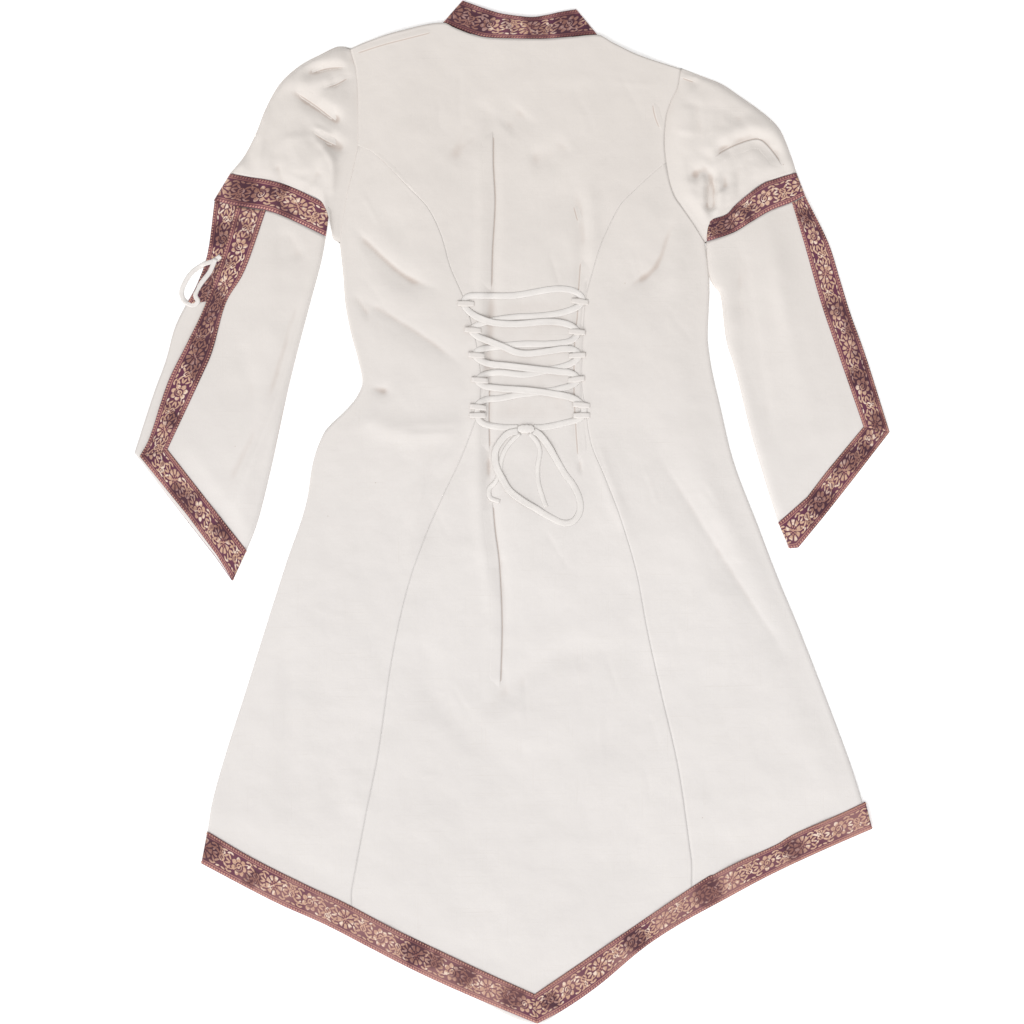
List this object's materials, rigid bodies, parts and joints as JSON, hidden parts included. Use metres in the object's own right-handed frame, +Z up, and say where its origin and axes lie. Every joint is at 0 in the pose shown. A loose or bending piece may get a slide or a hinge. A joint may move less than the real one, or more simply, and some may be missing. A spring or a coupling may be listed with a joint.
{
  "type": "medieval gown",
  "caption": "Cream cotton medieval gown with a laced back, brocade bands and a pointed hem, laid flat with its back up.",
  "frame": {"origin": "on the surface that the gown lies on, below the middle of its outline", "axes": "+X to the right as it lies with its back up, +Y towards the collar, +Z up"},
  "size_m": [0.868, 1.1736, 0.0118],
  "materials": {
    "cotton": "matte plain weave",
    "brocade": "woven brocade with a metallic sheen",
    "tape": "matte flat tape"
  },
  "bodies": {
    "root": {"front_panel": "cotton", "back_centre": "cotton", "back_side_left": "cotton", "back_side_right": "cotton", "collar": "brocade", "sleeve_upper_left": "cotton", "sleeve_upper_right": "cotton", "arm_band_left": "brocade", "arm_band_right": "brocade", "sleeve_lower_left": "cotton", "sleeve_lower_right": "cotton", "sleeve_trim_left_back": "brocade", "sleeve_trim_left_front": "brocade", "sleeve_trim_right_back": "brocade", "sleeve_trim_right_front": "brocade", "hem_trim_back": "brocade", "hem_trim_front": "brocade", "lace": "tape", "lace_knot": "tape", "lace_bow": "tape", "lace_end_left": "tape", "lace_end_right": "tape", "sleeve_tie_left": "tape", "lacing_loop_left_1": "cotton", "lacing_loop_left_2": "cotton", "lacing_loop_left_3": "cotton", "lacing_loop_left_4": "cotton", "lacing_loop_left_5": "cotton", "lacing_loop_left_6": "cotton", "lacing_loop_right_1": "cotton", "lacing_loop_right_2": "cotton", "lacing_loop_right_3": "cotton", "lacing_loop_right_4": "cotton", "lacing_loop_right_5": "cotton", "lacing_loop_right_6": "cotton"}
  },
  "joints": []
}
